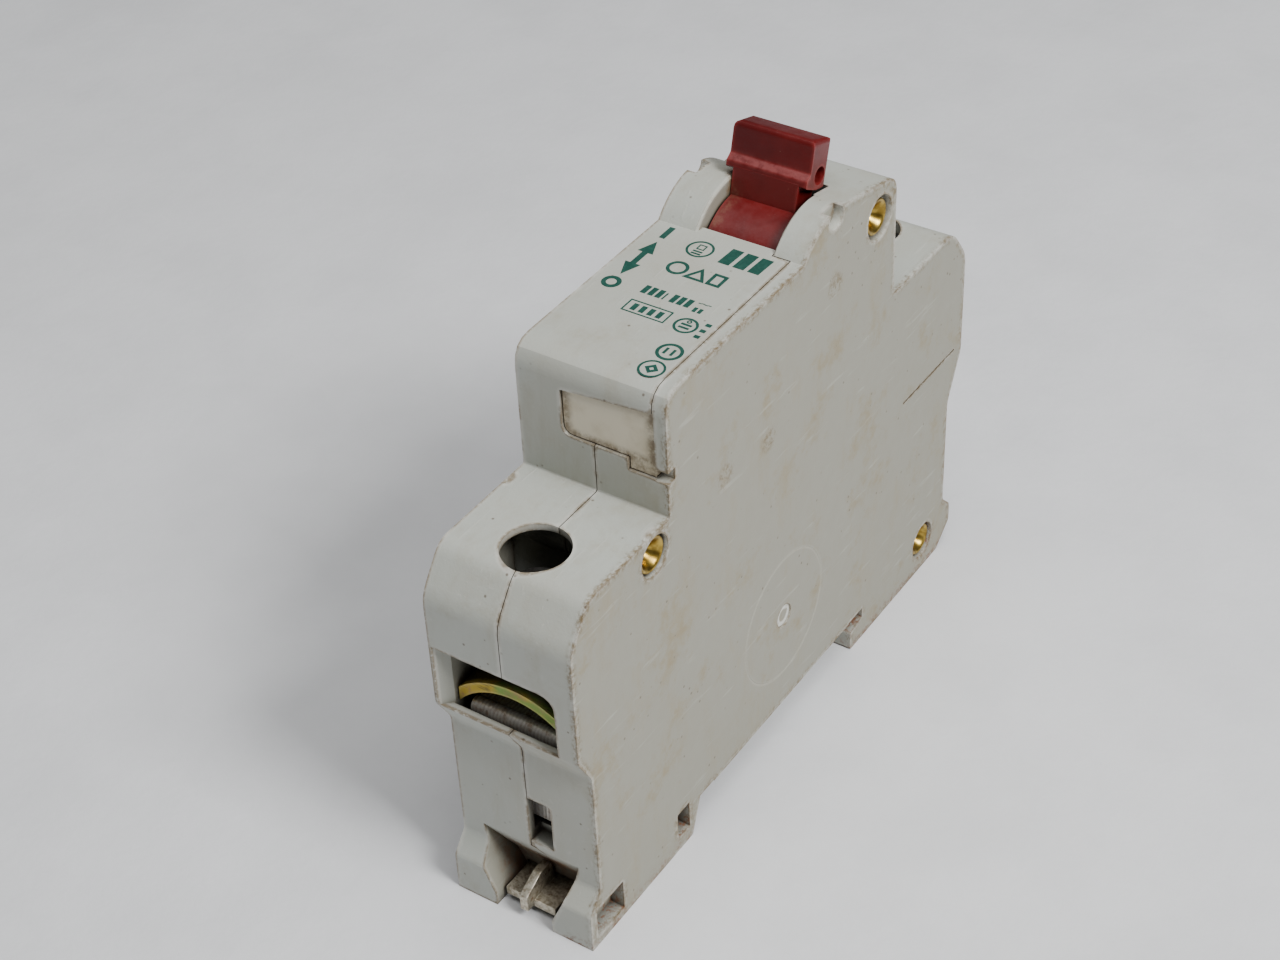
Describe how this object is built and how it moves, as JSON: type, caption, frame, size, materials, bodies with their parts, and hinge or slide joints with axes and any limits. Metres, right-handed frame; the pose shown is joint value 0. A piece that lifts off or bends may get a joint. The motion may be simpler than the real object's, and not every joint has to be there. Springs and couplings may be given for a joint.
{
  "type": "miniature circuit breaker",
  "caption": "One-module rail-mounted miniature circuit breaker with a lever toggle, screw clamp terminals, riveted two-part housing and a spring rail latch.",
  "frame": {"origin": "centre of the footprint, level with the lowest faces of the feet", "axes": "+X across the module width, +Y from the O end to the I end, +Z out of the front face towards the toggle"},
  "size_m": [0.0176, 0.08, 0.069],
  "materials": {
    "housing_plastic": "matte",
    "marker_plastic": "matte",
    "toggle_plastic": "semi-gloss",
    "rivet_brass": "worn",
    "spring_steel": "satin",
    "axle_steel": "satin",
    "carrier_plastic": "matte",
    "copper": "satin",
    "contact_silver": "satin",
    "bobbin_plastic": "matte",
    "core_steel": "dull",
    "plated_steel": "tarnished",
    "yellow_passivated_steel": "iridescent",
    "chute_fibre": "matte"
  },
  "bodies": {
    "root": {"housing_base": "housing_plastic", "housing_cover": "housing_plastic", "rivets": "rivet_brass", "marker_plate": "marker_plastic", "toggle_axle": "axle_steel", "arm_axle": "axle_steel", "fixed_contact_strip": "copper", "fixed_contact_tip": "contact_silver", "coil_winding": "copper", "coil_bobbin": "bobbin_plastic", "magnet_yoke": "core_steel", "fixed_core": "core_steel", "plunger_spring": "spring_steel", "trip_axle": "axle_steel", "bimetal_strip": "core_steel", "bimetal_bracket": "plated_steel", "calibration_screw": "axle_steel", "flexible_braid": "copper", "arc_chute_sides": "chute_fibre", "arc_plates": "core_steel", "arc_runner_upper": "copper", "arc_runner_lower": "copper", "near_clamp_cage": "yellow_passivated_steel", "near_busbar": "plated_steel", "far_clamp_cage": "yellow_passivated_steel", "far_busbar": "plated_steel", "latch_spring": "spring_steel"},
    "toggle_body": {"toggle": "toggle_plastic", "toggle_spring": "spring_steel"},
    "link_body": {"link_wire": "spring_steel"},
    "contact_body": {"contact_carrier": "carrier_plastic", "contact_arm": "copper", "moving_contact_tip": "contact_silver", "contact_spring": "spring_steel"},
    "trip_body": {"trip_lever": "bobbin_plastic", "trip_spring": "spring_steel"},
    "plunger_body": {"plunger": "core_steel", "striker_pin": "axle_steel"},
    "near_saddle_body": {"near_clamp_saddle": "yellow_passivated_steel"},
    "near_screw_body": {"near_clamp_screw": "plated_steel"},
    "far_saddle_body": {"far_clamp_saddle": "yellow_passivated_steel"},
    "far_screw_body": {"far_clamp_screw": "plated_steel"},
    "latch_body": {"rail_latch": "plated_steel"}
  },
  "joints": [
    {"name": "toggle_pivot", "type": "hinge", "parent": "root", "child": "toggle_body", "pos_m": [0, 0.0096, 0.0546], "axis": [1, 0, 0], "range_deg": [0, 38]},
    {"name": "link_pivot", "type": "hinge", "parent": "toggle_body", "child": "link_body", "pos_m": [0, 0.00537, 0.05306], "axis": [1, 0, 0], "range_deg": [-51, 0]},
    {"name": "contact_arm_pivot", "type": "hinge", "parent": "root", "child": "contact_body", "pos_m": [0, -0.004, 0.0434], "axis": [1, 0, 0], "range_deg": [-12, 0], "deforming": ["flexible_braid"]},
    {"name": "trip_lever_pivot", "type": "hinge", "parent": "root", "child": "trip_body", "pos_m": [0, -0.0124, 0.0444], "axis": [1, 0, 0], "range_deg": [0, 8], "stiffness_Nm_per_rad": 0.0005},
    {"name": "plunger_slide", "type": "slide", "parent": "root", "child": "plunger_body", "axis": [0, -1, 0], "range_m": [0, 0.002], "stiffness_N_per_m": 100, "deforming": ["plunger_spring"]},
    {"name": "latch_slide", "type": "slide", "parent": "root", "child": "latch_body", "axis": [0, -1, 0], "range_m": [0, 0.003], "stiffness_N_per_m": 800, "deforming": ["latch_spring"]},
    {"name": "near_saddle_slide", "type": "slide", "parent": "root", "child": "near_saddle_body", "axis": [0, 0, 1], "range_m": [0, 0.003]},
    {"name": "near_screw_turn", "type": "hinge", "parent": "near_saddle_body", "child": "near_screw_body", "pos_m": [0, -0.0327, 0.04], "axis": [0, 0, 1], "range_deg": [0, 1440]},
    {"name": "far_saddle_slide", "type": "slide", "parent": "root", "child": "far_saddle_body", "axis": [0, 0, 1], "range_m": [0, 0.003]},
    {"name": "far_screw_turn", "type": "hinge", "parent": "far_saddle_body", "child": "far_screw_body", "pos_m": [0, 0.0327, 0.04], "axis": [0, 0, 1], "range_deg": [0, 1440]}
  ],
  "couplings": [
    {"joint": "link_pivot", "follows": "toggle_pivot", "ratio": -1.3338},
    {"joint": "contact_arm_pivot", "follows": "toggle_pivot", "ratio": -0.3155},
    {"joint": "near_screw_turn", "follows": "near_saddle_slide", "rad_per_m": 8377.5},
    {"joint": "far_screw_turn", "follows": "far_saddle_slide", "rad_per_m": 8377.5}
  ]
}
